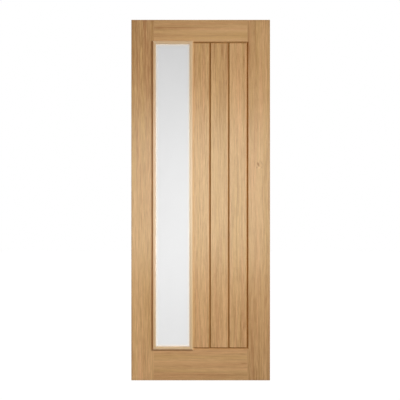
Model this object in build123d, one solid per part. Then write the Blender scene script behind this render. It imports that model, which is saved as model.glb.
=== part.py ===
from build123d import *
import os

# Internal door leaf, in millimetres: Z is up, X runs across the leaf and Y through its thickness.
# The front face looks towards -Y. The origin is the foot of the hinge edge, in the middle of the
# thickness, so the leaf reaches from there towards -X.

# The whole leaf
door_width = 762.0
door_height = 1981.0
door_thickness = 35.0
edge_arris = 1.0

# Frame: laminated cores with solid oak lippings on their long edges and veneer on both faces
stile_width = 124.0
top_rail_width = 124.0
bottom_rail_width = 176.0
veneer = 0.6
outer_lipping = 8.0
inner_lipping = 14.0

# Blind mortise and tenon joints between rails and stiles
tenon_thickness = 12.0
tenon_length = 50.0
tenon_shoulder = 15.0
tenon_clearance = 0.2
mortise_end_gap = 2.0

# V-jointed boards, tongued and grooved to each other and into the frame
board_count = 3
board_recess = 1.0
v_depth = 4.5
joint_gap = 0.8
board_end_gap = 0.5
tongue_thickness = 8.0
tongue_length = 8.0
tongue_clearance = 0.2
groove_end_gap = 0.6

# Glazed strip between the closing stile and the boards
glazing_width = 205.6
glass_thickness = 4.0
glass_edge_gap = 3.0
glass_arris = 0.5
tape_thickness = 1.5
tape_width = 6.0

# Glazing bead: a lip over the frame with a steep bevelled nose, a flat crest, an ovolo to the glass
bead_lip = 11.0
bead_sight = 10.0
bead_height = 8.0
bead_nose_edge = 1.0
bead_bevel = 5.0
bead_shoulder = 1.0
bead_ovolo = 4.5
bead_quirk = 1.5
bead_clearance = 0.3

# Planes that the pieces share
face = door_thickness / 2
closing_x = -door_width
opening_x = closing_x + stile_width
field_x = -stile_width
glazing_x = opening_x + glazing_width
lining_x = glazing_x + bead_lip
rail_low_z = bottom_rail_width
rail_high_z = door_height - top_rail_width
board_face = face - board_recess
board_pitch = (field_x - glazing_x) / board_count
groove_thickness = tongue_thickness + 2 * tongue_clearance
groove_depth = tongue_length + groove_end_gap
frame_chamfer = board_recess + v_depth


def block(x_range, y_range, z_range):
    """A square-edged solid between two planes on each axis."""
    sizes = [high - low for low, high in (x_range, y_range, z_range)]
    centre = [(high + low) / 2 for low, high in (x_range, y_range, z_range)]
    return Pos(*centre) * Box(*sizes)


def both_sides(half):
    """The range that reaches as far to the front of the middle plane as to its back."""
    return (-half, half)


def save(name, shape):
    """Write one piece of the door as parts/NAME.step."""
    solid = shape.solid()
    solid.label = name
    export_step(solid, f"parts/{name}.step")


def save_faced(name, blank, half_thickness, x_range, z_range, suffix="core"):
    """Cut a veneered piece from its blank: what is between the veneers, and a veneer on each face."""
    inside = half_thickness - veneer
    save(f"{name}_{suffix}", blank & block(x_range, both_sides(inside), z_range))


def save_veneers(name, blank, half_thickness, x_range, z_range):
    """Cut the front and back veneers from a blank, as wide and high as the piece that they cover."""
    inside = half_thickness - veneer
    save(f"{name}_front_veneer", blank & block(x_range, (-half_thickness, -inside), z_range))
    save(f"{name}_back_veneer", blank & block(x_range, (inside, half_thickness), z_range))


def tenon(shoulder_x, direction, core_z, fit=0.0, extra_length=0.0):
    """A tenon on a rail's core, or with a fit and some extra length the mortise that takes it."""
    tip_x = shoulder_x + direction * (tenon_length + extra_length)
    low_z, high_z = core_z
    return block(
        (min(shoulder_x, tip_x), max(shoulder_x, tip_x)),
        both_sides(tenon_thickness / 2 + fit),
        (low_z + tenon_shoulder - fit, high_z - tenon_shoulder + fit),
    )


def field_chamfers():
    """What the V round the boards takes off the frame, front and back, with mitred corners."""
    cut = block(
        (lining_x, field_x + frame_chamfer),
        (-face - frame_chamfer, -face + frame_chamfer),
        (rail_low_z - frame_chamfer, rail_high_z + frame_chamfer),
    )
    rim = cut.faces().sort_by(Axis.Y)[-1].edges().sort_by(Axis.X)[1:]
    cut = chamfer(rim, frame_chamfer)
    return [cut, mirror(cut, Plane.XZ)]


def field_groove():
    """The groove in the frame that takes the tongues of the boards on three sides."""
    return block(
        (lining_x - tongue_clearance, field_x + groove_depth),
        both_sides(groove_thickness / 2),
        (rail_low_z - groove_depth, rail_high_z + groove_depth),
    )


def stile_blank(x_range, outer_side):
    """A stile from end to end, its outer corners eased and its mortises cut."""
    section = Pos(sum(x_range) / 2, 0) * Rectangle(stile_width, door_thickness)
    outer_corners = section.vertices().group_by(Axis.X)[outer_side]
    blank = extrude(chamfer(outer_corners, edge_arris), door_height)
    direction = 1 if outer_side else -1
    inner_x = x_range[0] if outer_side else x_range[1]
    for core_z in (bottom_core_z, top_core_z):
        blank -= tenon(inner_x, direction, core_z, tenon_clearance, mortise_end_gap)
    return blank


def save_stile(name, blank, x_range, outer_side):
    """Cut a stile into its two lippings, its core and its veneers."""
    low_x, high_x = x_range
    low_lipping, high_lipping = outer_lipping, inner_lipping
    names = ("outer_lipping", "inner_lipping")
    if outer_side:
        low_lipping, high_lipping = inner_lipping, outer_lipping
        names = ("inner_lipping", "outer_lipping")
    whole_z = (0, door_height)
    core_x = (low_x + low_lipping, high_x - high_lipping)
    save_faced(name, blank, face, (low_x, core_x[0]), whole_z, names[0])
    save_faced(name, blank, face, core_x, whole_z)
    save_faced(name, blank, face, (core_x[1], high_x), whole_z, names[1])
    save_veneers(name, blank, face, x_range, whole_z)


def rail_blank(z_range, core_z):
    """A rail between the stiles, with a tenon at each end."""
    blank = block((opening_x, field_x), both_sides(face), z_range)
    blank += tenon(opening_x, -1, core_z)
    blank += tenon(field_x, 1, core_z)
    return blank


def save_rail(name, blank, z_range, core_z, lipping_z):
    """Cut a rail into its core with the tenons, the lipping on its inner edge and its veneers."""
    tenoned_x = (opening_x - tenon_length, field_x + tenon_length)
    save_faced(name, blank, face, tenoned_x, core_z)
    save_faced(name, blank, face, (opening_x, field_x), lipping_z, "lipping")
    save_veneers(name, blank, face, (opening_x, field_x), z_range)


def board_edges(number):
    """Where the body of a board starts and ends in X, without its tongue."""
    low = glazing_x + number * board_pitch + joint_gap / 2
    high = glazing_x + (number + 1) * board_pitch - joint_gap / 2
    if number == 0:
        low = lining_x
    if number == board_count - 1:
        high = field_x - joint_gap
    return low, high


def board_section(number):
    """A board's section: V chamfers at its joints, a groove at -X and a tongue at +X."""
    low, high = board_edges(number)
    section = Pos((low + high) / 2, 0) * Rectangle(high - low, 2 * board_face)
    corners = section.vertices().group_by(Axis.X)
    jointed = corners[-1] if number == 0 else corners[0] + corners[-1]
    section = chamfer(jointed, v_depth)
    section += Pos(high + tongue_length / 2, 0) * Rectangle(tongue_length, tongue_thickness)
    if number > 0:
        section -= Pos(low + groove_depth / 2, 0) * Rectangle(groove_depth, groove_thickness)
    return section


def board_blank(number):
    """A whole board: its section run out long, then its ends chamfered and rebated to a tongue."""
    body_z = (rail_low_z + board_end_gap, rail_high_z - board_end_gap)
    tongue_z = (body_z[0] - tongue_length, body_z[1] + tongue_length)
    run = Pos(0, 0, tongue_z[0]) * extrude(board_section(number), tongue_z[1] - tongue_z[0])
    field = (glazing_x, field_x + tongue_length)
    shoulders = block(field, both_sides(board_face), body_z)
    shoulders = chamfer(shoulders.edges().filter_by(Axis.X), v_depth)
    return run & (shoulders + block(field, both_sides(tongue_thickness / 2), tongue_z))


def bead_section():
    """The bead's section: X runs from the edge of the opening to the glass, Y out of the face."""
    seat = -(face - glass_thickness / 2 - tape_thickness)
    shoulder_x = bead_bevel - bead_lip
    ovolo_x = bead_sight - bead_quirk
    ovolo_y = bead_height - bead_ovolo
    outline = Polyline(
        (bead_clearance, 0),
        (-bead_lip, 0),
        (-bead_lip, bead_nose_edge),
        (shoulder_x, bead_height),
        (ovolo_x - bead_ovolo, bead_height),
    )
    outline += JernArc((ovolo_x - bead_ovolo, bead_height), (1, 0), bead_ovolo, -90)
    outline += Polyline(
        (ovolo_x, ovolo_y),
        (bead_sight, ovolo_y),
        (bead_sight, seat),
        (bead_clearance, seat),
        (bead_clearance, 0),
    )
    section = make_face(outline)
    shoulder = section.vertices().sort_by_distance((shoulder_x, bead_height, 0))[0]
    return fillet(shoulder, bead_shoulder)


def mitre_wedge(outer_start, outer_end, inner_end, inner_start):
    """What a bead with mitred ends keeps, seen from the front: a trapezium in X and Z."""
    outline = Polyline(outer_start, outer_end, inner_end, inner_start, close=True)
    return extrude(Plane.XZ * make_face(outline), door_thickness, both=True)


def save_beads():
    """The four mitred beads of each face, each run along one edge of the opening."""
    low_x, high_x = opening_x, glazing_x
    low_z, high_z = rail_low_z, rail_high_z
    corners = [(low_x, high_z), (low_x, low_z), (high_x, low_z), (high_x, high_z)]
    inward = [(1, -1), (1, 1), (-1, 1), (-1, -1)]
    sides = [("left", (1, 0, 0)), ("bottom", (0, 0, 1)), ("right", (-1, 0, 0)), ("top", (0, 0, -1))]
    section = bead_section()
    outer = [(x - bead_lip * i, z - bead_lip * k) for (x, z), (i, k) in zip(corners, inward)]
    inner = [(x + bead_sight * i, z + bead_sight * k) for (x, z), (i, k) in zip(corners, inward)]
    for start, (side, to_glass) in enumerate(sides):
        end = (start + 1) % len(corners)
        run = Vector(corners[end][0] - corners[start][0], 0, corners[end][1] - corners[start][1])
        along = run.normalized()
        origin = Vector(corners[start][0], -face, corners[start][1]) - along * bead_lip
        plane = Plane(origin=origin, x_dir=to_glass, z_dir=along)
        bead = extrude(plane * section, run.length + 2 * bead_lip)
        bead &= mitre_wedge(outer[start], outer[end], inner[end], inner[start])
        save(f"front_{side}_bead", bead)
        save(f"back_{side}_bead", mirror(bead, Plane.XZ))


def save_glazing():
    """The pane, and the tape that beds it against the beads on each side."""
    centre = Pos((opening_x + glazing_x) / 2, 0, (rail_low_z + rail_high_z) / 2)
    width = glazing_width - 2 * glass_edge_gap
    height = rail_high_z - rail_low_z - 2 * glass_edge_gap
    pane = Box(width, glass_thickness, height)
    save("glass_pane", centre * chamfer(pane.edges(), glass_arris))
    tape_face = Rectangle(width, height) - Rectangle(width - 2 * tape_width, height - 2 * tape_width)
    tape = centre * Pos(0, -glass_thickness / 2, 0) * extrude(Plane.XZ * tape_face, tape_thickness)
    save("front_glazing_tape", tape)
    save("back_glazing_tape", mirror(tape, Plane.XZ))


os.makedirs("parts", exist_ok=True)

bottom_core_z = (0, rail_low_z - inner_lipping)
top_core_z = (rail_high_z + inner_lipping, door_height)
chamfers = field_chamfers()
groove = field_groove()

# The left stile is the closing one, beside the glass.
left_x = (closing_x, opening_x)
save_stile("left_stile", stile_blank(left_x, 0), left_x, 0)

# The right stile carries the hinges and takes the last board's tongue.
right_x = (field_x, 0)
right_stile = stile_blank(right_x, -1) - groove - chamfers
save_stile("right_stile", right_stile, right_x, -1)

bottom_z = (0, rail_low_z)
bottom_rail = rail_blank(bottom_z, bottom_core_z) - groove - chamfers
save_rail("bottom_rail", bottom_rail, bottom_z, bottom_core_z, (bottom_core_z[1], rail_low_z))

top_z = (rail_high_z, door_height)
top_rail = rail_blank(top_z, top_core_z) - groove - chamfers
save_rail("top_rail", top_rail, top_z, top_core_z, (rail_high_z, top_core_z[0]))

for number in range(board_count):
    board = board_blank(number)
    board_x = (board_edges(number)[0], board_edges(number)[1] + tongue_length)
    board_z = (rail_low_z - tongue_length, rail_high_z + tongue_length)
    save_faced(f"board_{number + 1}", board, board_face, board_x, board_z)
    save_veneers(f"board_{number + 1}", board, board_face, board_x, board_z)

# Solid oak lines the cut edge of the boards inside the glazed opening.
lining = block((glazing_x, lining_x), both_sides(face), (rail_low_z, rail_high_z))
save("glazing_edge_lipping", lining)

save_glazing()
save_beads()
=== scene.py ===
"""Looks of the glazed internal door leaf: finishes, bead pins, floor, lamps and camera.

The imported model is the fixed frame. Lengths are in metres in the same frame as the CAD: the leaf
reaches from its hinge edge at X = 0 towards -X, its front face looks towards -Y and its foot is
at Z = 0.
"""

import logging
import math
from collections.abc import Iterator, Sequence
from dataclasses import dataclass, field, replace
from enum import Enum
from typing import Any

import bpy
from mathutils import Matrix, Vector


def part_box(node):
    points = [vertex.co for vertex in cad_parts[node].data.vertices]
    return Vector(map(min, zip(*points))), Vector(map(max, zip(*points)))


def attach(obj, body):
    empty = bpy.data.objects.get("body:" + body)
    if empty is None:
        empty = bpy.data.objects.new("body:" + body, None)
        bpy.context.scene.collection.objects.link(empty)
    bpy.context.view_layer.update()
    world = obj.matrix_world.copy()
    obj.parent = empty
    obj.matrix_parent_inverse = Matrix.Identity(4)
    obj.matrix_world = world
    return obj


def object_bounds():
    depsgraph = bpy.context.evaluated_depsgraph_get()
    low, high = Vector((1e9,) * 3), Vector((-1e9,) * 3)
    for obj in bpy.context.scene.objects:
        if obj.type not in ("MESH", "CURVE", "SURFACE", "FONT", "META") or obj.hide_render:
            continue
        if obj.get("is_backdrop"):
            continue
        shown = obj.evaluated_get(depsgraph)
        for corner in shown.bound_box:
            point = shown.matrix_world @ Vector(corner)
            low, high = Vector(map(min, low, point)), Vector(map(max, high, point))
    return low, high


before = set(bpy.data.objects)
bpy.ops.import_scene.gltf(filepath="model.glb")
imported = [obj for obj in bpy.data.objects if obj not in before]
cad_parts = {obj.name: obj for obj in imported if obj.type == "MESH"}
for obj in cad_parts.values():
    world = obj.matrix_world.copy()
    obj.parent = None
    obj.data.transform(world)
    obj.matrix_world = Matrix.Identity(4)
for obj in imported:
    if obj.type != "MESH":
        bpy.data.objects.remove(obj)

LOG = logging.getLogger("glazed_door")
MM = 0.001

Colour = tuple[float, float, float]
Tint = tuple[float, float, float, float]
Point = tuple[float, float, float]
Socket = bpy.types.NodeSocket
Value = Socket | float | Sequence[float]

WHITE = (1.0, 1.0, 1.0, 1.0)
ORIGIN = (0.0, 0.0, 0.0)
FALLING = (1.0, 0.0)


class Grain(Enum):
    """The way the grain of a piece runs, as the turn that brings it upright."""

    UPRIGHT = (0.0, 0.0, 0.0)
    LEVEL = (0.0, math.pi / 2, 0.0)


class Face(Enum):
    """A face of the leaf, as the side of the middle plane that it lies on."""

    FRONT = -1
    BACK = 1

    @property
    def word(self) -> str:
        """The word that starts the names of this face's nodes."""
        return self.name.lower()

    @property
    def outward(self) -> Vector:
        """The way this face looks."""
        return Vector((0.0, float(self.value), 0.0))


class Graph:
    """A node tree with short methods for adding nodes and joining them."""

    def __init__(self, tree: bpy.types.NodeTree) -> None:
        """Take over a node tree."""
        self.tree = tree

    def add(self, kind: str, inputs: dict[str | int, Value] | None = None, **settings: Any) -> bpy.types.Node:
        """Add one node.

        Args:
            kind: Blender's name for the node.
            inputs: What goes into its sockets: another node's output, or a plain value.
            settings: The node's own properties.

        Returns:
            The new node.
        """
        node = self.tree.nodes.new(kind)
        for name, value in settings.items():
            setattr(node, name, value)
        for name, value in (inputs or {}).items():
            if isinstance(value, bpy.types.NodeSocket):
                self.tree.links.new(value, node.inputs[name])
            else:
                node.inputs[name].default_value = value
        return node


@dataclass(frozen=True)
class Layer:
    """One cloudy layer of a pattern.

    Attributes:
        spread: How many clouds there are to a metre on each axis.
        detail: How many finer layers it has.
        harshness: How strong the finer layers are.
        weight: How strongly it lightens the tone. Below nought it darkens it.
    """

    spread: Point
    detail: float = 2.0
    harshness: float = 0.5
    weight: float = 1.0


class Recipe(Graph):
    """A material and the steps that mix its colour, roughness and relief."""

    MIX_FACTOR, MIX_FIRST, MIX_SECOND, MIX_RESULT = 0, 6, 7, 2
    MIDDLE = 0.5

    def __init__(self, name: str) -> None:
        """Start an empty material.

        Args:
            name: The name of the material.
        """
        self.material = bpy.data.materials.new(name)
        self.material.use_nodes = True
        super().__init__(self.material.node_tree)
        self.tree.nodes.clear()
        coordinates = self.add("ShaderNodeTexCoord")
        self.position = coordinates.outputs["Object"]
        self.facing = coordinates.outputs["Normal"]

    def math(self, operation: str, *values: Value) -> Socket:
        """Work out one sum on single numbers."""
        return self.add("ShaderNodeMath", dict(enumerate(values)), operation=operation).outputs[0]

    def total(self, *values: Value) -> Socket:
        """Add several numbers up.

        Args:
            values: The numbers or sockets to add.

        Returns:
            The socket with their sum.
        """
        result = values[0]
        for value in values[1:]:
            result = self.math("ADD", result, value)
        return result

    def weighed(self, value: Socket, weight: float) -> Socket:
        """Centre a pattern on nought and scale it."""
        return self.math("MULTIPLY", self.math("SUBTRACT", value, self.MIDDLE), weight)

    def parts(self, vector: Socket) -> tuple[Socket, ...]:
        """Split a place or a direction into its X, Y and Z."""
        return tuple(self.add("ShaderNodeSeparateXYZ", {0: vector}).outputs)

    def moved(self, vector: Socket, step: Socket) -> Socket:
        """Move the place that a pattern is read at."""
        return self.add("ShaderNodeVectorMath", {0: vector, 1: step}, operation="ADD").outputs[0]

    def turned(self, vector: Socket, turn: Point = ORIGIN, shift: Point = ORIGIN) -> Socket:
        """Turn the place that a pattern is read at, in radians, and then shift it."""
        inputs = {"Vector": vector, "Rotation": turn, "Location": shift}
        return self.add("ShaderNodeMapping", inputs).outputs[0]

    def noise(self, vector: Socket, layer: Layer) -> Socket:
        """Read a cloudy pattern.

        Args:
            vector: The place it is read at.
            layer: How fine and how rough the clouds are.

        Returns:
            The socket with the pattern, about nought to one.
        """
        place = self.add("ShaderNodeMapping", {"Vector": vector, "Scale": layer.spread}).outputs[0]
        inputs = {"Vector": place, "Scale": 1.0, "Detail": layer.detail, "Roughness": layer.harshness}
        return self.add("ShaderNodeTexNoise", inputs).outputs[0]

    def clouds(self, vector: Socket, layer: Layer) -> Socket:
        """Read a cloudy pattern, centred on nought and as strong as its weight says."""
        return self.weighed(self.noise(vector, layer), layer.weight)

    def step(self, value: Socket, start: float, end: float, low: float = 0.0, high: float = 1.0) -> Socket:
        """Go smoothly from the low level at the start to the high level at the end."""
        inputs = {"Value": value, 1: start, 2: end, 3: low, 4: high}
        return self.add("ShaderNodeMapRange", inputs, interpolation_type="SMOOTHSTEP").outputs[0]

    def ramp(self, value: Socket, colours: Sequence[tuple[float, Colour]]) -> Socket:
        """Give each level of a pattern its colour.

        Args:
            value: The pattern.
            colours: Each level with its colour, lowest first.

        Returns:
            The socket with the colour.
        """
        node = self.add("ShaderNodeValToRGB", {0: value})
        elements = node.color_ramp.elements
        while len(elements) < len(colours):
            elements.new(1.0)
        for element, (level, colour) in zip(elements, colours):
            element.position = level
            element.color = (*colour, 1.0)
        return node.outputs[0]

    def between(self, pattern: Socket, dark: Colour, pale: Colour, margin: float = 0.0) -> Socket:
        """Colour a pattern from dark to pale, plain in a margin at each end of its range."""
        return self.ramp(pattern, [(margin, dark), (1.0 - margin, pale)])

    def blend(self, share: Value, first: Value, second: Value, way: str = "MULTIPLY") -> Socket:
        """Mix two colours.

        Args:
            share: How much of the second colour shows.
            first: The first colour.
            second: The second colour.
            way: Blender's name for the way they mix.

        Returns:
            The socket with the mixed colour.
        """
        inputs = {self.MIX_FACTOR: share, self.MIX_FIRST: first, self.MIX_SECOND: second}
        node = self.add("ShaderNodeMix", inputs, data_type="RGBA", blend_type=way)
        return node.outputs[self.MIX_RESULT]

    def relief(self, height: Socket, depth: float, strength: float) -> Socket:
        """Turn a height pattern into a bumpy surface, whose full depth is in metres."""
        inputs = {"Height": height, "Distance": depth, "Strength": strength}
        return self.add("ShaderNodeBump", inputs).outputs[0]

    def finish(
        self, colour: Value, roughness: Value, relief: Socket, levels: dict[str, Value] | None = None
    ) -> bpy.types.Material:
        """Close the tree with one surface shader.

        Args:
            colour: The base colour.
            roughness: The roughness.
            relief: The surface direction.
            levels: The shader's other levels, by their names.

        Returns:
            The finished material.
        """
        inputs = {"Base Color": colour, "Roughness": roughness, "Normal": relief, **(levels or {})}
        surface = self.add("ShaderNodeBsdfPrincipled", inputs)
        self.add("ShaderNodeOutputMaterial", {"Surface": surface.outputs[0]})
        return self.material


@dataclass(frozen=True)
class Mark:
    """A mark on the oak: a darker or lighter patch with a soft edge, drawn out to a streak; most are natural,
    those by the beads painted shade and a painted highlight.

    Attributes:
        x: Where its middle lies across the leaf.
        z: How high its middle lies.
        half_width: How far it reaches to each side.
        half_height: How far it reaches up and down.
        tone: How much it lightens the wood. Below nought it darkens it.
        stain: How strongly the dark lacquer tint covers it: real stain in the knot, painted shade by the
            beads.
        lean: How far it leans, in radians.
        turns_grain: How far it pushes the grain aside.
        square_ends: Whether it keeps its strength up to its ends, where others fade.
    """

    x: float
    z: float
    half_width: float
    half_height: float
    tone: float = 0.0
    stain: float = 0.0
    lean: float = 0.0
    turns_grain: float = 0.0
    square_ends: bool = False

    THROUGH_THE_LEAF = 10.0
    END_FADE = (0.99, 1.0)

    def cover(self, recipe: Recipe) -> Socket:
        """Find how strongly the mark covers each place on the leaf.

        Args:
            recipe: The recipe that the steps go into.

        Returns:
            The socket with one in the middle of the mark and nought outside it.
        """
        inputs = {
            "Vector": recipe.position,
            "Location": (self.x, 0.0, self.z),
            "Rotation": (0.0, self.lean, 0.0),
            "Scale": (self.half_width, self.THROUGH_THE_LEAF, self.half_height),
        }
        place = recipe.add("ShaderNodeMapping", inputs, vector_type="TEXTURE").outputs[0]
        if not self.square_ends:
            reach = recipe.add("ShaderNodeVectorMath", {0: place}, operation="LENGTH").outputs["Value"]
            return recipe.step(reach, 0.0, 1.0, *FALLING)
        x, _, z = recipe.parts(place)
        across = recipe.step(recipe.math("ABSOLUTE", x), 0.0, 1.0, *FALLING)
        along = recipe.step(recipe.math("ABSOLUTE", z), *self.END_FADE, *FALLING)
        return recipe.math("MULTIPLY", across, along)


@dataclass(frozen=True)
class OakFinish:
    """Lacquered oak cut from one log: growth rings round a pith behind the face, streaks and pores.

    Attributes:
        name: The name of the material.
        grain: The way the grain runs.
        seed: What tells this piece of oak from the others.
        shade: How much lighter it is than plain oak.
        pith_across: Where the log's pith lies across the grain.
        pith_behind: How far behind the face it lies at nought along the grain.
        tilt: How fast it leaves the face along the grain.
        ring: The width of a growth ring.
        ring_weight: How strongly the rings show.
        banding: How strongly the broad bands show.
        contrast: How strongly the streaks and the fine lines show.
        dark, middle, light: The colours of the darkest, the plain and the lightest wood.
        lacquer, sheen: The gloss of the thin lacquer in the wood, and its tint.
        coat, coat_index, coat_roughness: How thick, how bright and how dull the clear coat is.
        lively_ends: How much stronger the figure grows towards the head and the foot.
        drift, drift_middle: How much the wood lightens with each metre above a height, and that height.
        pooled_side, pooled_share: The way the slope looks that carries painted shade, and how much.
        pooled_tint, pooled_tint_behind: The tint of that painted shade on the front and on the back; the
            first also tints the stained marks.
        rubbed_share, rubbed_tint: How strongly the opposite slope is lightened with a painted highlight, and
            its tint.
        marks: The natural marks that the piece shows.
    """

    name: str
    grain: Grain = Grain.UPRIGHT
    seed: float = 0.0
    shade: float = 0.0
    pith_across: float = 0.0
    pith_behind: float = 0.09
    tilt: float = 0.02
    ring: float = 5.5 * MM
    ring_weight: float = 0.16
    banding: float = 1.2
    contrast: float = 1.35
    dark: Colour = (0.37, 0.165, 0.050)
    middle: Colour = (0.55, 0.305, 0.120)
    light: Colour = (0.72, 0.415, 0.190)
    lacquer: float = 0.35
    sheen: Tint = (0.80, 1.0, 0.62, 1.0)
    coat: float = 0.70
    coat_index: float = 1.5
    coat_roughness: float = 0.30
    lively_ends: float = 0.8
    drift: float = 0.0
    drift_middle: float = 1.0
    # The painted shade and the painted highlight on the two slopes of a moulding.
    pooled_side: Point = ORIGIN
    pooled_share: float = 0.0
    pooled_tint: Tint = (0.72, 0.34, 0.03, 1.0)
    pooled_tint_behind: Tint = (0.72, 0.34, 0.03, 1.0)
    rubbed_share: float = 0.0
    rubbed_tint: Tint = (1.30, 1.38, 1.55, 1.0)
    marks: tuple[Mark, ...] = ()

    def material(self) -> bpy.types.Material:
        """Mix the finish."""
        return OakRecipe(self).mixed()


class OakRecipe(Recipe):
    """The steps that mix one oak finish."""

    SCATTER = (1.0, 1.7, 2.3)
    SLOW_SWAY = Layer((4.0, 4.0, 1.1), 1.0, weight=26 * MM)
    QUICK_SWAY = Layer((30.0, 30.0, 5.0), weight=2.5 * MM)
    BANDS = Layer((24.0, 24.0, 0.9), weight=0.7)
    STREAKS = Layer((155.0, 155.0, 5.0), 3.0, 0.6, weight=0.75)
    LINES = Layer((300.0, 300.0, 16.0), 3.0, 0.65, weight=0.7)
    FIBRES = Layer((1900.0, 1900.0, 60.0), weight=0.22)
    UNEVEN_RINGS = Layer((22.0, 22.0, 1.2), 1.0, weight=1.6)
    EARLY_WOOD, LATE_WOOD = (0.0, 0.35), (0.80, 1.0)
    PORES = Layer((2400.0, 2400.0, 170.0), 1.0, weight=-0.16)
    PORE_EDGE, PORE_CROWDING = (0.60, 0.68), 0.06
    HUES = Layer((42.0, 42.0, 1.3))
    PINK, PINK_EDGE = (1.03, 0.98, 1.0, 1.0), (0.50, 0.66)
    YELLOW, YELLOW_EDGE = (0.995, 1.01, 0.94, 1.0), (0.50, 0.34)
    FLECKS = Layer((420.0, 420.0, 75.0), 1.0, 0.3)
    PALE, FLECK_EDGE = (1.10, 1.12, 1.16, 1.0), (0.66, 0.76)
    ROUGHNESS, LINE_ROUGHNESS, PORE_ROUGHNESS = 0.30, 0.10, 0.18
    FIBRE_RELIEF, RELIEF_DEPTH, RELIEF_STRENGTH = 0.35, 0.08 * MM, 0.5
    POOLED_SLOPE, RUBBED_SLOPE = (0.25, 0.65), (-0.15, -0.65)
    FRONT_TO_BACK = (-0.2, 0.2)
    FLAT_ENOUGH = (0.80, 0.97)

    def __init__(self, oak: OakFinish) -> None:
        """Start the material and find the places that its patterns are read at.

        Args:
            oak: The finish to mix.
        """
        super().__init__(oak.name)
        self.oak = oak
        self.marks = [(mark, mark.cover(self)) for mark in oak.marks]
        self.upright = self.turned(self.position, oak.grain.value)
        self.swayed = self.moved(self.upright, self.sway())
        self.scattered = self.turned(self.swayed, shift=tuple(oak.seed * step for step in self.SCATTER))

    def mixed(self) -> bpy.types.Material:
        """Mix the finish.

        Returns:
            The finished material.
        """
        oak = self.oak
        rings = self.rings()
        pores = self.pores(rings)
        lines = self.noise(self.scattered, self.LINES)
        fibres = self.noise(self.scattered, self.FIBRES)
        figure = self.total(
            self.weighed(self.noise(self.scattered, self.BANDS), self.BANDS.weight * oak.banding),
            self.weighed(self.noise(self.scattered, self.STREAKS), self.STREAKS.weight * oak.contrast),
            self.weighed(lines, self.LINES.weight * oak.contrast),
        )
        height = self.math("SUBTRACT", self.parts(self.position)[2], oak.drift_middle)
        lively = self.math("MULTIPLY_ADD", self.math("MULTIPLY", height, height), oak.lively_ends, 1.0)
        tone = self.total(
            self.math("MULTIPLY_ADD", height, oak.drift, self.MIDDLE + oak.shade),
            self.math("MULTIPLY", figure, lively),
            self.weighed(fibres, self.FIBRES.weight),
            self.weighed(rings, oak.ring_weight),
            self.math("MULTIPLY", pores, self.PORES.weight),
            *[self.math("MULTIPLY", cover, mark.tone) for mark, cover in self.marks],
        )
        colour = self.ramp(tone, [(0.0, oak.dark), (self.MIDDLE, oak.middle), (1.0, oak.light)])
        for change in (self.tinted, self.flecked, self.stained, self.pooled):
            colour = change(colour)
        roughness = self.total(
            self.ROUGHNESS,
            self.weighed(lines, self.LINE_ROUGHNESS),
            self.math("MULTIPLY", pores, self.PORE_ROUGHNESS),
        )
        surface = self.total(self.math("MULTIPLY", pores, -1.0), self.weighed(fibres, self.FIBRE_RELIEF))
        relief = self.relief(surface, self.RELIEF_DEPTH, self.RELIEF_STRENGTH)
        return self.finish(colour, roughness, relief, {
            "Specular IOR Level": oak.lacquer,
            "Specular Tint": oak.sheen,
            "Coat Weight": self.coated(),
            "Coat IOR": oak.coat_index,
            "Coat Roughness": oak.coat_roughness,
        })

    def sway(self) -> Socket:
        """Bend the grain a little all over, and round the marks that turn it.

        Returns:
            The socket with what is added to the place.
        """
        shifted = self.turned(self.upright, shift=(self.oak.seed, 0.0, self.oak.seed))
        slow, quick = self.clouds(shifted, self.SLOW_SWAY), self.clouds(shifted, self.QUICK_SWAY)
        turns = [
            self.math("MULTIPLY", cover, mark.turns_grain) for mark, cover in self.marks if mark.turns_grain]
        return self.add("ShaderNodeCombineXYZ", {"X": self.total(slow, quick, *turns)}).outputs[0]

    def rings(self) -> Socket:
        """Draw the growth rings, which the face cuts as straight lines or as long arches.

        Returns:
            The socket with the rings, dark in the late wood and light in the early wood.
        """
        x, _, z = self.parts(self.swayed)
        across = self.math("SUBTRACT", x, self.oak.pith_across)
        behind = self.math("MULTIPLY_ADD", z, self.oak.tilt, self.oak.pith_behind)
        squares = [self.math("MULTIPLY", way, way) for way in (across, behind)]
        years = self.math("DIVIDE", self.math("SQRT", self.total(*squares)), self.oak.ring)
        uneven = self.clouds(self.scattered, self.UNEVEN_RINGS)
        phase = self.math("FRACT", self.total(years, uneven))
        early = self.step(phase, *self.EARLY_WOOD)
        late = self.step(phase, *self.LATE_WOOD, *FALLING)
        return self.math("MULTIPLY", early, late)

    def pores(self, rings: Socket) -> Socket:
        """Scatter the open pores, short dark dashes that crowd the early wood.

        Args:
            rings: The growth rings.

        Returns:
            The socket with one in a pore and nought beside it.
        """
        dashes = self.noise(self.scattered, self.PORES)
        crowding = self.math("MULTIPLY", self.math("SUBTRACT", 1.0, rings), self.PORE_CROWDING)
        return self.step(self.math("ADD", dashes, crowding), *self.PORE_EDGE)

    def tinted(self, colour: Socket) -> Socket:
        """Let pinkish and yellowish bands drift along the grain.

        Args:
            colour: The colour so far.

        Returns:
            The socket with the tinted colour.
        """
        hues = self.noise(self.scattered, self.HUES)
        colour = self.blend(self.step(hues, *self.PINK_EDGE), colour, self.PINK)
        return self.blend(self.step(hues, *self.YELLOW_EDGE), colour, self.YELLOW)

    def flecked(self, colour: Socket) -> Socket:
        """Add the short pale flecks of the wood's rays to the colour."""
        flecks = self.noise(self.scattered, self.FLECKS)
        return self.blend(self.step(flecks, *self.FLECK_EDGE), colour, self.PALE)

    def stained(self, colour: Socket) -> Socket:
        """Darken the marks with the dark lacquer tint: the real stain of the knot and the painted shade by
        the beads.

        Args:
            colour: The colour so far.

        Returns:
            The socket with the darkened colour.
        """
        # The knot's stain is real; the marks by the beads are painted shade.
        for mark, cover in self.marks:
            if mark.stain:
                share = self.math("MULTIPLY", cover, mark.stain)
                colour = self.blend(share, colour, self.oak.pooled_tint)
        return colour

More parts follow.
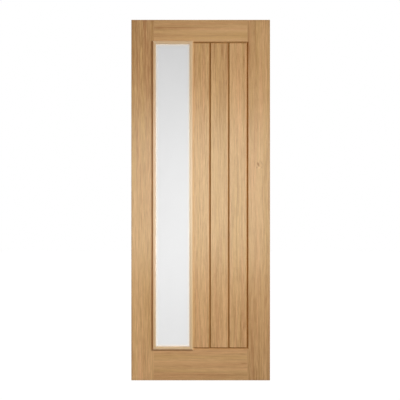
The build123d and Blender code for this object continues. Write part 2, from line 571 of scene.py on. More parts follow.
    def pooled(self, colour: Socket) -> Socket:
        """Darken one side of a moulding with painted shade, and lighten the other side with a painted
        highlight.

        Args:
            colour: The colour so far.

        Returns:
            The socket with the new colour, or the colour as it was if the finish paints neither.
        """
        oak = self.oak
        if not oak.pooled_share and not oak.rubbed_share:
            return colour
        inputs = {0: self.facing, 1: oak.pooled_side}
        looks = self.add("ShaderNodeVectorMath", inputs, operation="DOT_PRODUCT").outputs["Value"]
        # Painted shade on the slope that looks one way, painted highlight on the slope that looks the other
        # way.
        pooled = self.step(looks, *self.POOLED_SLOPE, 0.0, oak.pooled_share)
        rubbed = self.step(looks, *self.RUBBED_SLOPE, 0.0, oak.rubbed_share)
        behind = self.step(self.parts(self.facing)[1], *self.FRONT_TO_BACK)
        tint = self.blend(behind, oak.pooled_tint, oak.pooled_tint_behind, "MIX")
        return self.blend(rubbed, self.blend(pooled, colour, tint), oak.rubbed_tint)

    def coated(self) -> Socket:
        """Lay the clear coat on the flat faces, and thin it over slopes, arrises and the marks of stain and
        painted shade.

        Returns:
            The socket with the weight of the coat.
        """
        turned = self.add("ShaderNodeVectorMath", {0: self.facing}, operation="ABSOLUTE").outputs[0]
        x, y, z = self.parts(turned)
        flatness = self.math("MAXIMUM", self.math("MAXIMUM", x, y), z)
        weight = self.step(flatness, *self.FLAT_ENOUGH, 0.0, self.oak.coat)
        for mark, cover in self.marks:
            if mark.stain:
                left = self.math("MULTIPLY_ADD", cover, -mark.stain, 1.0)
                weight = self.math("MULTIPLY", weight, left)
        return weight


@dataclass(frozen=True)
class LaminatedCore:
    """Softwood strips glued side by side, seen only on the sawn top and bottom edges of the leaf."""

    name: str
    grain: Grain
    strip: float = 34 * MM
    glue_line: float = 0.25 * MM
    pale: Colour = (0.70, 0.50, 0.27)
    dark: Colour = (0.52, 0.31, 0.13)
    glue: Tint = (0.33, 0.22, 0.12, 1.0)

    HALF_A_STRIP = 0.5
    STRIP_STEPS = {"X": 0.37, "Y": 0.61}
    RINGS = Layer((160.0, 90.0, 1.5), 2.0, 0.4, weight=1.3)
    FIBRES = Layer((1500.0, 1500.0, 40.0), weight=0.4)
    SHADES = Layer((6.0, 6.0, 1.0), 0.0, weight=0.8)
    ROUGHNESS, FIBRE_ROUGHNESS = 0.62, 0.2
    RELIEF_DEPTH, RELIEF_STRENGTH = 0.15 * MM, 0.6

    def material(self) -> bpy.types.Material:
        """Mix the finish.

        Returns:
            The finished material.
        """
        recipe = Recipe(self.name)
        upright = recipe.turned(recipe.position, self.grain.value)
        strips = recipe.math("DIVIDE", recipe.parts(upright)[0], self.strip)
        number = recipe.math("FLOOR", strips)
        edge = recipe.math("PINGPONG", strips, self.HALF_A_STRIP)
        own_place = {axis: recipe.math("MULTIPLY", number, step) for axis, step in self.STRIP_STEPS.items()}
        place = recipe.moved(upright, recipe.add("ShaderNodeCombineXYZ", own_place).outputs[0])
        fibres = recipe.noise(place, self.FIBRES)
        tone = recipe.total(
            recipe.MIDDLE,
            recipe.clouds(place, self.RINGS),
            recipe.weighed(fibres, self.FIBRES.weight),
            recipe.clouds(place, self.SHADES),
        )
        colour = recipe.between(tone, self.dark, self.pale, margin=0.15)
        glued = recipe.step(edge, 0.0, self.glue_line / self.strip, *FALLING)
        colour = recipe.blend(glued, colour, self.glue, "MIX")
        roughness = recipe.total(self.ROUGHNESS, recipe.weighed(fibres, self.FIBRE_ROUGHNESS))
        relief = recipe.relief(fibres, self.RELIEF_DEPTH, self.RELIEF_STRENGTH)
        return recipe.finish(colour, roughness, relief)


@dataclass(frozen=True)
class Fibreboard:
    """The boards' dark core, which shows in the sides of the V joints under thin lacquer."""

    name: str = "fibreboard_core"
    pale: Colour = (0.41, 0.195, 0.052)
    dark: Colour = (0.29, 0.128, 0.031)
    lacquer: float = 0.25

    CLOUDS = Layer((90.0, 90.0, 9.0), 3.0, weight=0.9)
    FLUFF = Layer((2600.0, 2600.0, 1400.0), weight=0.7)
    ROUGHNESS, FLUFF_ROUGHNESS = 0.55, 0.2
    RELIEF_DEPTH, RELIEF_STRENGTH = 0.1 * MM, 0.5

    def material(self) -> bpy.types.Material:
        """Mix the finish.

        Returns:
            The finished material.
        """
        recipe = Recipe(self.name)
        clouds = recipe.clouds(recipe.position, self.CLOUDS)
        fluff = recipe.noise(recipe.position, self.FLUFF)
        tone = recipe.total(clouds, recipe.weighed(fluff, self.FLUFF.weight), recipe.MIDDLE)
        colour = recipe.between(tone, self.dark, self.pale, margin=0.2)
        roughness = recipe.total(self.ROUGHNESS, recipe.weighed(fluff, self.FLUFF_ROUGHNESS))
        relief = recipe.relief(fluff, self.RELIEF_DEPTH, self.RELIEF_STRENGTH)
        return recipe.finish(colour, roughness, relief, {"Specular IOR Level": self.lacquer})


@dataclass(frozen=True)
class FrostedGlass:
    """Acid-etched safety glass: milky, with a fine tooth that softens what lies behind it.

    The etching thins out towards the beads, so the pane is clearest along its edges, and painted light makes
    that band warmer and brighter against the shade that the beads throw on it.
    """

    middle: Point
    half_width: float
    half_height: float
    name: str = "etched_glass"
    clear: Colour = (0.80, 0.80, 0.80)
    milky: Colour = (0.76, 0.76, 0.76)
    edge_tint: Tint = (1.14, 1.06, 0.95, 1.0)
    border: float = 17 * MM
    passes: float = 0.97
    roughness: float = 0.36
    edge_roughness: float = 0.24

    MOTTLE = Layer((14.0, 14.0, 5.0), 3.0, weight=0.6)
    TOOTH = Layer((2200.0, 2200.0, 2200.0), weight=0.3)
    TOOTH_ROUGHNESS = 0.12
    RELIEF_DEPTH, RELIEF_STRENGTH = 0.03 * MM, 0.4

    def material(self) -> bpy.types.Material:
        """Mix the finish.

        Returns:
            The finished material.
        """
        recipe = Recipe(self.name)
        mottle = recipe.clouds(recipe.position, self.MOTTLE)
        tooth = recipe.noise(recipe.position, self.TOOTH)
        tone = recipe.total(mottle, recipe.weighed(tooth, self.TOOTH.weight), recipe.MIDDLE)
        thinned = self.thinned(recipe)
        colour = recipe.between(tone, self.milky, self.clear)
        # Painted light: the band along the beads is tinted warmer and brighter.
        colour = recipe.blend(thinned, colour, self.edge_tint)
        cleared = recipe.math("MULTIPLY", thinned, self.edge_roughness - self.roughness)
        roughness = recipe.total(self.roughness, cleared, recipe.weighed(tooth, self.TOOTH_ROUGHNESS))
        relief = recipe.relief(tooth, self.RELIEF_DEPTH, self.RELIEF_STRENGTH)
        return recipe.finish(colour, roughness, relief, {"Transmission Weight": self.passes})

    def thinned(self, recipe: Recipe) -> Socket:
        """Find the band along the beads where the etching thins out and the painted light lies.

        Args:
            recipe: The recipe that the steps go into.

        Returns:
            The socket with one beside the beads and nought further in than the border.
        """
        place = recipe.parts(recipe.position)
        from_edges = []
        for axis, half in ((0, self.half_width), (2, self.half_height)):
            off_middle = recipe.math("ABSOLUTE", recipe.math("SUBTRACT", place[axis], self.middle[axis]))
            from_edges.append(recipe.math("SUBTRACT", half, off_middle))
        return recipe.step(recipe.math("MINIMUM", *from_edges), 0.0, self.border, *FALLING)


@dataclass(frozen=True)
class GrittyFinish:
    """A dull stuff of fine grains or cells, mixed from a pale and a dark colour."""

    name: str
    pale: Colour
    dark: Colour
    grains: Layer
    roughness: float
    grain_roughness: float
    relief_depth: float
    relief_strength: float

    def material(self) -> bpy.types.Material:
        """Mix the finish.

        Returns:
            The finished material.
        """
        recipe = Recipe(self.name)
        grains = recipe.noise(recipe.position, self.grains)
        colour = recipe.between(grains, self.dark, self.pale, margin=0.3)
        roughness = recipe.total(self.roughness, recipe.weighed(grains, self.grain_roughness))
        relief = recipe.relief(grains, self.relief_depth, self.relief_strength)
        return recipe.finish(colour, roughness, relief)


# Soft grey foam tape beds the pane.
FOAM_TAPE = GrittyFinish(
    "foam_tape", pale=(0.74, 0.74, 0.72), dark=(0.60, 0.60, 0.58), grains=Layer((1800.0, 1800.0, 1800.0)),
    roughness=0.85, grain_roughness=0.1, relief_depth=0.1 * MM, relief_strength=0.6)
# A dab of oak filler covers the sunk head of each pin.
PIN_FILLER = GrittyFinish(
    "pin_filler", pale=(0.46, 0.275, 0.13), dark=(0.30, 0.165, 0.07), grains=Layer((3200.0, 3200.0, 3200.0)),
    roughness=0.6, grain_roughness=0.2, relief_depth=0.05 * MM, relief_strength=0.5)


def dress(node: str, material: bpy.types.Material) -> None:
    """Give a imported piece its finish.

    Args:
        node: The piece's node.
        material: The finish.
    """
    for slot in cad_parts[node].material_slots:
        slot.material = material
    LOG.info("dressed %s with %s", node, material.name)


def add_object(name: str, data: bpy.types.ID) -> bpy.types.Object:
    """Add an object to the scene.

    Args:
        name: The object's name.
        data: Its mesh, lamp or camera.

    Returns:
        The object.
    """
    added = bpy.data.objects.new(name, data)
    bpy.context.scene.collection.objects.link(added)
    return added


@dataclass
class StileAndRailFrame:
    """The two stiles and two rails: veneered faces, solid oak lippings and laminated cores."""

    knot: Mark = Mark(-0.0655, 1.188, 7.5 * MM, 17 * MM, -0.9, stain=0.3, lean=-0.22)
    knot_shade: Mark = Mark(-0.064, 1.182, 14 * MM, 44 * MM, -0.14, turns_grain=8 * MM)
    knot_glint: Mark = Mark(-0.059, 1.168, 8 * MM, 9 * MM, 0.50)
    knot_tail: Mark = Mark(-0.072, 1.170, 5 * MM, 10 * MM, -0.50, lean=0.5)
    knot_swirl: Mark = Mark(-0.047, 1.196, 5 * MM, 20 * MM, -0.40, lean=-0.42)
    knot_swirl_end: Mark = Mark(-0.046, 1.171, 5 * MM, 9 * MM, -0.35, lean=0.5)
    # Painted shadow: the strip of the left stile beside the left bead, where the bead's shadow falls,
    # darkened with the lacquer tint.
    bead_corner: Mark = Mark(-0.6495, 1.0165, 8 * MM, 0.8515, stain=0.38, square_ends=True)
    joint_glint: Mark = Mark(-0.6505, 1.932, 8 * MM, 0.085, 0.28)
    top_smudge: Mark = Mark(-0.608, 1.937, 38 * MM, 11 * MM, -0.22)
    left_arris: Mark = Mark(-0.762, 0.99, 15 * MM, 0.99, -0.24, square_ends=True)
    right_arris: Mark = Mark(0.0, 0.99, 17 * MM, 0.99, -0.22, square_ends=True)
    top_arris: Mark = Mark(-0.381, 1.981, 15 * MM, 0.385, -0.16, lean=math.pi / 2, square_ends=True)
    bottom_arris: Mark = Mark(-0.381, 0.0, 15 * MM, 0.385, -0.16, lean=math.pi / 2, square_ends=True)
    top_streak: Mark = Mark(-0.385, 1.938, 0.30, 7 * MM, -0.20)
    bottom_streak: Mark = Mark(-0.381, 0.030, 0.36, 6 * MM, -0.20)
    short_streak: Mark = Mark(-0.1415, 0.092, 32 * MM, 8 * MM, -0.40)
    upper_streak: Mark = Mark(-0.146, 0.144, 36 * MM, 9 * MM, -0.22)
    left_band: Mark = Mark(-0.689, 0.99, 12 * MM, 2.4, -0.10)
    top_rail_shade: Mark = Mark(-0.68, 1.92, 0.42, 0.5, -0.21)
    top_left_shade: Mark = Mark(-0.70, 1.75, 0.25, 0.60, -0.14)

    def veneers(self) -> dict[str, OakFinish]:
        """Choose the leaf of veneer for each member's front and back.

        Returns:
            The finish of each veneer, by its node.
        """
        return {
            "left_stile_front_veneer": OakFinish(
                "left_stile_oak", seed=3.1, shade=-0.05, pith_across=-0.86, pith_behind=0.05, tilt=0.006,
                contrast=1.7, lively_ends=0.3, drift=-0.16, marks=(
                    self.left_band, self.bead_corner, self.top_left_shade, self.joint_glint, self.left_arris,
                    self.top_arris, self.bottom_arris)),
            "left_stile_back_veneer": OakFinish(
                "left_stile_back_oak", seed=5.7, pith_across=-0.60, pith_behind=0.06, tilt=-0.008),
            "right_stile_front_veneer": OakFinish(
                "right_stile_oak", seed=8.3, shade=-0.02, pith_across=0.07, pith_behind=0.05, tilt=0.005,
                contrast=1.45, lively_ends=0.35, drift=0.07, marks=(
                    self.knot, self.knot_shade, self.knot_glint, self.knot_tail, self.knot_swirl,
                    self.knot_swirl_end, self.right_arris, self.top_arris, self.bottom_arris)),
            "right_stile_back_veneer": OakFinish(
                "right_stile_back_oak", seed=11.9, pith_across=-0.20, pith_behind=0.07, tilt=0.010),
            "top_rail_front_veneer": OakFinish(
                "top_rail_oak", Grain.LEVEL, seed=14.2, shade=0.12, pith_across=2.05, pith_behind=0.05,
                tilt=0.01, banding=1.7, contrast=0.9, lively_ends=0.0,
                marks=(self.top_streak, self.top_smudge, self.top_rail_shade, self.top_arris)),
            "top_rail_back_veneer": OakFinish(
                "top_rail_back_oak", Grain.LEVEL, seed=17.4, pith_across=1.78, pith_behind=0.06, tilt=-0.01,
                lively_ends=0.0),
            "bottom_rail_front_veneer": OakFinish(
                "bottom_rail_oak", Grain.LEVEL, seed=20.8, shade=0.03, pith_across=-0.09, pith_behind=0.05,
                tilt=0.012, contrast=1.15, lively_ends=0.0,
                marks=(self.bottom_streak, self.short_streak, self.upper_streak, self.bottom_arris)),
            "bottom_rail_back_veneer": OakFinish(
                "bottom_rail_back_oak", Grain.LEVEL, seed=23.6, pith_across=0.08, tilt=0.08, lively_ends=0.0),
        }

    def dress(self) -> None:
        """Dress every node of the frame."""
        for node, finish in self.veneers().items():
            dress(node, finish.material())
        upright_lipping = self.lipping("stile_lipping_oak", seed=26.5).material()
        level_lipping = self.lipping("rail_lipping_oak", grain=Grain.LEVEL, seed=29.3).material()
        upright_core = LaminatedCore("stile_core_softwood", Grain.UPRIGHT).material()
        level_core = LaminatedCore("rail_core_softwood", Grain.LEVEL).material()
        for side, to_field in (("left", 1.0), ("right", -1.0)):
            # Painted shade: the slope of each stile's inner lipping that faces the boards is darkened, so the
            # V joint reads dark on the front and on the back.
            jointed_lipping = self.lipping(
                f"{side}_stile_joint_oak", seed=28.1, pooled_side=(to_field, 0.0, 0.0), pooled_share=0.7,
                pooled_tint_behind=(0.34, 0.24, 0.13, 1.0)).material()
            dress(f"{side}_stile_outer_lipping", upright_lipping)
            dress(f"{side}_stile_inner_lipping", jointed_lipping)
            dress(f"{side}_stile_core", upright_core)
        for place in ("top", "bottom"):
            dress(f"{place}_rail_lipping", level_lipping)
            dress(f"{place}_rail_core", level_core)
        dress("glazing_edge_lipping", upright_lipping)

    def lipping(self, name: str, **choices: Any) -> OakFinish:
        """Choose the straight-grained oak of a lipping, cut far from the pith."""
        return OakFinish(name, pith_behind=0.3, tilt=0.004, **choices)


@dataclass
class BoardedField:
    """The three V-jointed boards: a leaf of oak on each face of a dark core."""

    low_mark: Mark = Mark(-0.162, 0.304, 6 * MM, 34 * MM, -0.22)
    high_mark: Mark = Mark(-0.176, 1.787, 6 * MM, 30 * MM, -0.22)

    def veneers(self) -> dict[str, OakFinish]:
        """Choose the leaf of veneer for each board's front and back.

        Returns:
            The finish of each veneer, by its node.
        """
        return {
            "board_1_front_veneer": OakFinish(
                "board_1_oak", seed=32.4, shade=-0.13, pith_across=-0.52, pith_behind=0.04, tilt=0.008,
                ring=6 * MM, contrast=1.65, lively_ends=0.5, drift=-0.03),
            "board_2_front_veneer": OakFinish(
                "board_2_oak", seed=35.1, shade=-0.04, pith_across=-0.16, pith_behind=0.05, tilt=0.010,
                ring=6 * MM),
            "board_3_front_veneer": OakFinish(
                "board_3_oak", seed=38.9, shade=0.03, pith_across=-0.30, pith_behind=0.05, tilt=0.01,
                contrast=1.75, lively_ends=0.25, drift=0.08, marks=(self.low_mark, self.high_mark)),
            "board_1_back_veneer": OakFinish(
                "board_1_back_oak", seed=41.3, pith_across=-0.30, pith_behind=0.04),
            "board_2_back_veneer": OakFinish(
                "board_2_back_oak", seed=44.6, pith_across=-0.28, pith_behind=0.02, tilt=0.045),
            "board_3_back_veneer": OakFinish(
                "board_3_back_oak", seed=47.2, pith_across=-0.10, pith_behind=0.06, tilt=0.01),
        }

    def dress(self) -> None:
        """Dress every node of the boards."""
        for node, finish in self.veneers().items():
            dress(node, finish.material())
        core = Fibreboard().material()
        for number in (1, 2, 3):
            dress(f"board_{number}_core", core)


class PinTree(Graph):
    """A Geometry Nodes tree that sets pins along every edge of a mesh and turns them outwards."""

    OUTWARD = "outward"
    HEAD_SEGMENTS, HEAD_RINGS = 12, 6

    def __init__(self) -> None:
        """Build the tree with its named inputs."""
        super().__init__(bpy.data.node_groups.new("pins_along_beads", "GeometryNodeTree"))
        interface = self.tree.interface
        interface.new_socket("Geometry", in_out="OUTPUT", socket_type="NodeSocketGeometry")
        interface.new_socket("Geometry", in_out="INPUT", socket_type="NodeSocketGeometry")
        for name in ("Spacing", "Head Radius", "Head Height"):
            interface.new_socket(name, in_out="INPUT", socket_type="NodeSocketFloat")
        interface.new_socket("Finish", in_out="INPUT", socket_type="NodeSocketMaterial")
        self.build()

    def build(self) -> None:
        """Join up the tree: points along the edges, a domed head on each, real mesh at the end."""
        given = self.add("NodeGroupInput").outputs
        curves = self.add("GeometryNodeMeshToCurve", {"Mesh": given["Geometry"]}).outputs["Curve"]
        points = self.add(
            "GeometryNodeResampleCurve", {"Curve": curves, "Length": given["Spacing"]}, mode="LENGTH")
        outward = self.add(
            "GeometryNodeInputNamedAttribute", {"Name": self.OUTWARD}, data_type="FLOAT_VECTOR")
        turn = self.add(
            "FunctionNodeAlignRotationToVector", {"Vector": outward.outputs["Attribute"]}, axis="Z")
        size = self.add("ShaderNodeCombineXYZ", {
            "X": given["Head Radius"], "Y": given["Head Radius"], "Z": given["Head Height"]})
        dome = self.add("GeometryNodeMeshUVSphere", {
            "Segments": self.HEAD_SEGMENTS, "Rings": self.HEAD_RINGS, "Radius": 1.0})
        heads = self.add("GeometryNodeInstanceOnPoints", {
            "Points": points.outputs["Curve"],
            "Instance": dome.outputs["Mesh"],
            "Rotation": turn.outputs["Rotation"],
            "Scale": size.outputs["Vector"],
        })
        real = self.add("GeometryNodeRealizeInstances", {"Geometry": heads.outputs["Instances"]})
        smooth = self.add("GeometryNodeSetShadeSmooth", {"Geometry": real.outputs["Geometry"]})
        made = self.add("GeometryNodeSetMaterial", {
            "Geometry": smooth.outputs["Geometry"], "Material": given["Finish"]})
        self.add("NodeGroupOutput", {"Geometry": made.outputs["Geometry"]})

    def identifier(self, name: str) -> str:
        """Find what a modifier calls one of the tree's inputs."""
        sockets = self.tree.interface.items_tree
        return next(s.identifier for s in sockets if s.in_out == "INPUT" and s.name == name)


@dataclass(frozen=True)
class BeadSide:
    """One side of the pane: which way its beads lie, their shade, and the painted shade and painted highlight
    on their two slopes.
    """

    grain: Grain
    away_from_glass: Point
    shade: float
    pooled: float
    rubbed: float
    marks: tuple[Mark, ...] = ()


@dataclass
class GlazedStrip:
    """The frosted pane with its mitred beads, their pins and the tape that beds the pane."""

    pin_spacing: float = 150 * MM
    pin_end_gap: float = 45 * MM
    pin_radius: float = 0.8 * MM
    pin_height: float = 0.32 * MM
    ovolo_radius: float = 4.5 * MM
    ovolo_quirk: float = 1.5 * MM
    first_seed: float = 50.0
    seed_step: float = 2.7
    sides: dict[str, BeadSide] = field(default_factory=lambda: {
        # Each bead has painted shade on its outer slope and a painted highlight on its glass-side slope, the
        # shade strongest on the left and bottom; the left mark is painted shade on the left bead's nose, the
        # right mark a painted highlight along the right bead's glass edge.
        "left": BeadSide(
            Grain.UPRIGHT, (-1.0, 0.0, 0.0), shade=-0.20, pooled=0.88, rubbed=0.25,
            marks=(Mark(-0.6415, 1.0165, 5 * MM, 0.8515, stain=0.40, square_ends=True),)),
        "right": BeadSide(
            Grain.UPRIGHT, (1.0, 0.0, 0.0), shade=-0.05, pooled=0.15, rubbed=1.0,
            marks=(Mark(-0.4415, 1.0165, 5 * MM, 0.8515, tone=0.6, square_ends=True),)),
        "top": BeadSide(Grain.LEVEL, (0.0, 0.0, 1.0), shade=-0.07, pooled=0.10, rubbed=0.4),
        "bottom": BeadSide(Grain.LEVEL, (0.0, 0.0, -1.0), shade=-0.17, pooled=0.75, rubbed=0.1),
    })

    def look_of(self, side: str, face: Face) -> BeadSide:
        """Find the look of one bead: from behind, where the key lamp falls from the other side, the left bead
        has the look, with the painted shade and highlight, of the front's right one.

        Args:
            side: The side of the pane.
            face: The face of the leaf.

        Returns:
            The bead's lie, shade, painted shade and highlight, and marks.
        """
        own = self.sides[side]
        opposite = {"left": "right", "right": "left"}
        if face is Face.FRONT or side not in opposite:
            return own
        low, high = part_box("glass_pane")
        look = self.sides[opposite[side]]
        marks = tuple(replace(mark, x=low.x + high.x - mark.x) for mark in look.marks)
        return replace(look, away_from_glass=own.away_from_glass, marks=marks)

    def bead_oak(self, side: str, face: Face) -> OakFinish:
        """Choose the paler, straight-grained oak of one bead.

        Args:
            side: The side of the pane.
            face: The face of the leaf.

        Returns:
            The bead's finish.
        """
        number = list(self.sides).index(side) + len(self.sides) * (face is Face.BACK)
        look = self.look_of(side, face)
        return OakFinish(
            f"{face.word}_{side}_bead_oak", look.grain, seed=self.first_seed + self.seed_step * number,
            shade=look.shade, pith_behind=0.4, tilt=0.003, ring_weight=0.10, banding=1.0, contrast=1.0,
            dark=(0.50, 0.30, 0.15), middle=(0.68, 0.455, 0.25), light=(0.83, 0.585, 0.345),
            lacquer=0.3, coat=1.0, coat_index=1.6, lively_ends=0.0, pooled_side=look.away_from_glass,
            pooled_share=look.pooled, rubbed_share=look.rubbed, marks=look.marks)

    def glass(self) -> FrostedGlass:
        """Fit the pane's finish to the opening that the front beads leave.

        Returns:
            The pane's finish.
        """
        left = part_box("front_left_bead")[1].x
        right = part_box("front_right_bead")[0].x
        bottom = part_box("front_bottom_bead")[1].z
        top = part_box("front_top_bead")[0].z
        middle = ((left + right) / 2, 0.0, (bottom + top) / 2)
        return FrostedGlass(middle, (right - left) / 2, (top - bottom) / 2)

    def dress(self) -> None:
        """Dress the pane, the tape and the beads."""
        dress("glass_pane", self.glass().material())
        tape = FOAM_TAPE.material()
        for face in Face:
            dress(f"{face.word}_glazing_tape", tape)
            for side in self.sides:
                dress(f"{face.word}_{side}_bead", self.bead_oak(side, face).material())

    def pin_lines(self, face: Face) -> Iterator[tuple[Vector, Vector, Vector]]:
        """Find the line that the pins of each bead follow, half-way round its ovolo.

        Args:
            face: The face of the leaf.

        Yields:
            The line's two ends and the direction that its pins look in.
        """
        slope = math.sqrt(0.5)
        for side, lie in self.sides.items():
            low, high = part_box(f"{face.word}_{side}_bead")
            inward = -Vector(lie.away_from_glass)
            glass_edge = [
                high[axis] if step > 0 else low[axis] if step < 0 else 0.0
                for axis, step in enumerate(inward)
            ]
            crest = max(abs(low.y), abs(high.y))
            centre = Vector(glass_edge) - inward * (self.ovolo_quirk + self.ovolo_radius)
            centre += face.outward * (crest - self.ovolo_radius)
            look = (inward + face.outward) * slope
            along = Vector((abs(inward.z), 0.0, abs(inward.x)))
            half = ((high - low).dot(along)) / 2 - self.pin_end_gap
            seat = centre + look * self.ovolo_radius + along * ((low + high) / 2).dot(along)
            yield seat - along * half, seat + along * half, look

    def set_pins(self) -> None:
        """Set the pins of both faces and make them plain meshes."""
        tree = PinTree()
        finish = PIN_FILLER.material()
        for face in Face:
            lines = list(self.pin_lines(face))
            mesh = bpy.data.meshes.new(f"{face.word}_pin_lines")
            ends = [end for start, stop, _ in lines for end in (start, stop)]
            mesh.from_pydata(ends, [(2 * line, 2 * line + 1) for line in range(len(lines))], [])
            outward = mesh.attributes.new(PinTree.OUTWARD, "FLOAT_VECTOR", "POINT")
            for end in range(len(ends)):
                outward.data[end].vector = lines[end // 2][2]
            self.keep_pins(add_object(mesh.name, mesh), tree, finish, f"{face.word}_bead_pins")

    def keep_pins(
        self, guide: bpy.types.Object, tree: PinTree, finish: bpy.types.Material, name: str
    ) -> None:
        """Run the pin tree on its guide lines and keep the result as a plain piece.

        Args:
            guide: The object with the guide lines.
            tree: The pin tree.
            finish: The material of the pins.
            name: The piece's name.
        """
        modifier = guide.modifiers.new("pins", "NODES")
        modifier.node_group = tree.tree
        inputs = {
            "Spacing": self.pin_spacing,
            "Head Radius": self.pin_radius,
            "Head Height": self.pin_height,
            "Finish": finish,
        }
        for input_name, value in inputs.items():
            modifier[tree.identifier(input_name)] = value
        bpy.context.view_layer.update()
        evaluated = guide.evaluated_get(bpy.context.evaluated_depsgraph_get())
        mesh = bpy.data.meshes.new_from_object(evaluated)
        mesh.name = name
        bpy.data.objects.remove(guide)
        pins = add_object(name, mesh)
        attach(pins, "root")
        LOG.info("%s: %d triangles", name, sum(len(p.vertices) - 2 for p in mesh.polygons))


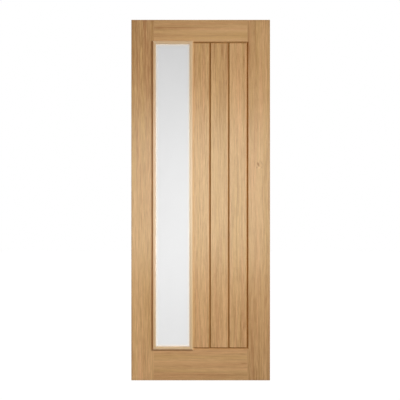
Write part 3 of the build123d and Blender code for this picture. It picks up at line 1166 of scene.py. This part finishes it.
@dataclass
class Studio:
    """A pale floor, a white surround, soft lamps before and behind the leaf, and the camera."""

    eye: Point = (-0.3847, -12.229, 0.991)
    lens: float = 200.0
    surround: float = 1.0
    fill: float = 0.02
    backdrop_distance: float = 0.9
    backdrop_sides: tuple[float, float] = (-3.0, 2.2)
    backdrop_foot: float = 0.02
    backdrop_head: float = 2.8
    backdrop_whites: tuple[tuple[float, float], ...] = (
        (0.0, 1.0), (0.27, 1.0), (0.6, 0.94), (1.0, 0.79), (1.38, 0.775), (1.76, 0.775))
    softbox_height: float = 1.05
    softbox_size: float = 0.95
    softbox_distance: float = 1.4
    softbox_radiance: float = 3.6
    key_share: float = 0.345
    key_direction: Point = (1.25, -1.0, 1.2)
    key_spread: float = math.radians(5)
    floor_size: float = 60.0
    floor_height: float = -3 * MM
    floor_greys: tuple[float, float] = (0.29, 0.31)
    floor_clouds: Layer = Layer((0.7, 0.7, 0.7))
    floor_glow: float = 1.15
    floor_glow_share: float = 0.86
    middle_across: float = -0.381

    def build(self) -> None:
        """Put the whole studio up."""
        self.camera()
        self.world()
        self.floor()
        self.backdrop()
        for face in Face:
            self.softbox(face)
            self.key(face)

    def camera(self) -> None:
        """Stand the camera straight before the leaf, as the photograph was taken."""
        data = bpy.data.cameras.new("camera")
        data.lens = self.lens
        camera = add_object("camera", data)
        camera.location = self.eye
        camera.rotation_euler = (math.pi / 2, 0.0, 0.0)
        bpy.context.scene.camera = camera

    def background_rays(self, graph: Graph) -> Socket:
        """Tell the rays that see the white surround from those that light the leaf.

        Args:
            graph: The node tree that the steps go into.

        Returns:
            The socket with one for camera, glossy and transmission rays.
        """
        path = graph.add("ShaderNodeLightPath").outputs
        seen = path["Is Camera Ray"]
        for kind in ("Is Glossy Ray", "Is Transmission Ray"):
            seen = graph.add("ShaderNodeMath", {0: seen, 1: path[kind]}, operation="MAXIMUM").outputs[0]
        return seen

    def world(self) -> None:
        """Surround the scene with white that lights the leaf only softly."""
        world = bpy.data.worlds.new("white_surround")
        bpy.context.scene.world = world
        world.use_nodes = True
        graph = Graph(world.node_tree)
        graph.tree.nodes.clear()
        strength = graph.add("ShaderNodeMapRange", {
            0: self.background_rays(graph), 3: self.fill, 4: self.surround}).outputs[0]
        background = graph.add("ShaderNodeBackground", {"Color": WHITE, "Strength": strength})
        graph.add("ShaderNodeOutputWorld", {"Surface": background.outputs[0]})
        bpy.context.scene.view_settings.view_transform = "Standard"

    def screen(self, name: str, corners: Sequence[Point], material: bpy.types.Material) -> bpy.types.Object:
        """Stand or lay one flat screen in the studio.

        Args:
            name: The screen's name.
            corners: Its four corners, in order.
            material: Its material.

        Returns:
            The screen.
        """
        mesh = bpy.data.meshes.new(name)
        mesh.from_pydata(corners, [], [(0, 1, 2, 3)])
        mesh.materials.append(material)
        screen = add_object(name, mesh)
        screen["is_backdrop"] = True
        return screen

    def floor(self) -> None:
        """Lay the pale floor, which shows white and keeps a light shadow of the leaf."""
        half, z = self.floor_size / 2, self.floor_height
        corners = [(-half, -half, z), (half, -half, z), (half, half, z), (-half, half, z)]
        self.screen("floor", corners, self.floor_paint())

    def floor_paint(self) -> bpy.types.Material:
        """Mix the floor's paint.

        Returns:
            The finished material.
        """
        recipe = Recipe("pale_floor")
        clouds = recipe.noise(recipe.position, self.floor_clouds)
        dark, pale = [(grey, grey, grey) for grey in self.floor_greys]
        colour = recipe.between(clouds, dark, pale, margin=0.3)
        paint = recipe.add("ShaderNodeBsdfDiffuse", {"Color": colour})
        white = recipe.add("ShaderNodeEmission", {"Color": WHITE, "Strength": self.floor_glow})
        share = recipe.math("MULTIPLY", self.background_rays(recipe), self.floor_glow_share)
        mixed = recipe.add("ShaderNodeMixShader", {0: share, 1: paint.outputs[0], 2: white.outputs[0]})
        recipe.add("ShaderNodeOutputMaterial", {"Surface": mixed.outputs[0]})
        return recipe.material

    def backdrop(self) -> None:
        """Hang a pale cloth behind the leaf, which only the glass shows and which greys towards its top."""
        (left, right), y = self.backdrop_sides, self.backdrop_distance
        low, high = self.backdrop_foot, self.backdrop_head
        recipe = Recipe("pale_cloth")
        share = recipe.math("DIVIDE", recipe.parts(recipe.position)[2], high)
        whites = recipe.ramp(share, [(z / high, (white, white, white)) for z, white in self.backdrop_whites])
        glow = recipe.add("ShaderNodeEmission", {"Color": whites, "Strength": 1.0})
        recipe.add("ShaderNodeOutputMaterial", {"Surface": glow.outputs[0]})
        corners = [(left, y, low), (right, y, low), (right, y, high), (left, y, high)]
        cloth = self.screen("backdrop", corners, recipe.material)
        cloth.visible_camera = False
        cloth.visible_diffuse = False
        cloth.visible_glossy = False
        cloth.visible_shadow = False

    def softbox(self, face: Face) -> None:
        """Hang a large soft lamp straight before a face of the leaf, at half its height.

        Args:
            face: The face that it lights.
        """
        data = bpy.data.lights.new(f"{face.word}_softbox", "AREA")
        data.shape = "SQUARE"
        data.size = self.softbox_size
        data.energy = self.softbox_radiance * math.pi * self.softbox_size**2
        middle = Vector((self.middle_across, 0.0, self.softbox_height))
        self.hang(data, middle + face.outward * self.softbox_distance, face.outward)

    def key(self, face: Face) -> None:
        """Light a face from its upper right, so that the beads and V joints throw short shadows.

        Args:
            face: The face that it lights.
        """
        x, y, z = self.key_direction
        towards = Vector((x, y, z)) if face is Face.FRONT else Vector((-x, -y, z))
        data = bpy.data.lights.new(f"{face.word}_key", "SUN")
        data.angle = self.key_spread
        data.energy = self.key_share * math.pi * towards.length / abs(y)
        self.hang(data, Vector(), towards)

    def hang(self, data: bpy.types.Light, place: Vector, from_leaf: Vector) -> None:
        """Add a lamp that neither the camera nor the glass sees.

        Args:
            data: The lamp's kind and strength.
            place: Where it hangs.
            from_leaf: The way from the leaf to the lamp.
        """
        lamp = add_object(data.name, data)
        lamp.location = place
        lamp.rotation_euler = from_leaf.to_track_quat("Z", "Y").to_euler()
        lamp.visible_camera = False
        lamp.visible_transmission = False
        LOG.info("hung %s", lamp.name)


def write_sizes(before: tuple[Vector, Vector], after: tuple[Vector, Vector]) -> None:
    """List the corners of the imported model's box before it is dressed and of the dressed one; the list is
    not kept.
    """
    [[list(corner) for corner in box] for box in (before, after)]


def main() -> None:
    """Dress the leaf, set its pins and put up the studio."""
    packed_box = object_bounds()
    StileAndRailFrame().dress()
    BoardedField().dress()
    strip = GlazedStrip()
    strip.dress()
    strip.set_pins()
    Studio().build()
    write_sizes(packed_box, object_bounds())


if __name__ == "__main__":
    logging.basicConfig(level=logging.INFO, format="%(message)s")
    main()
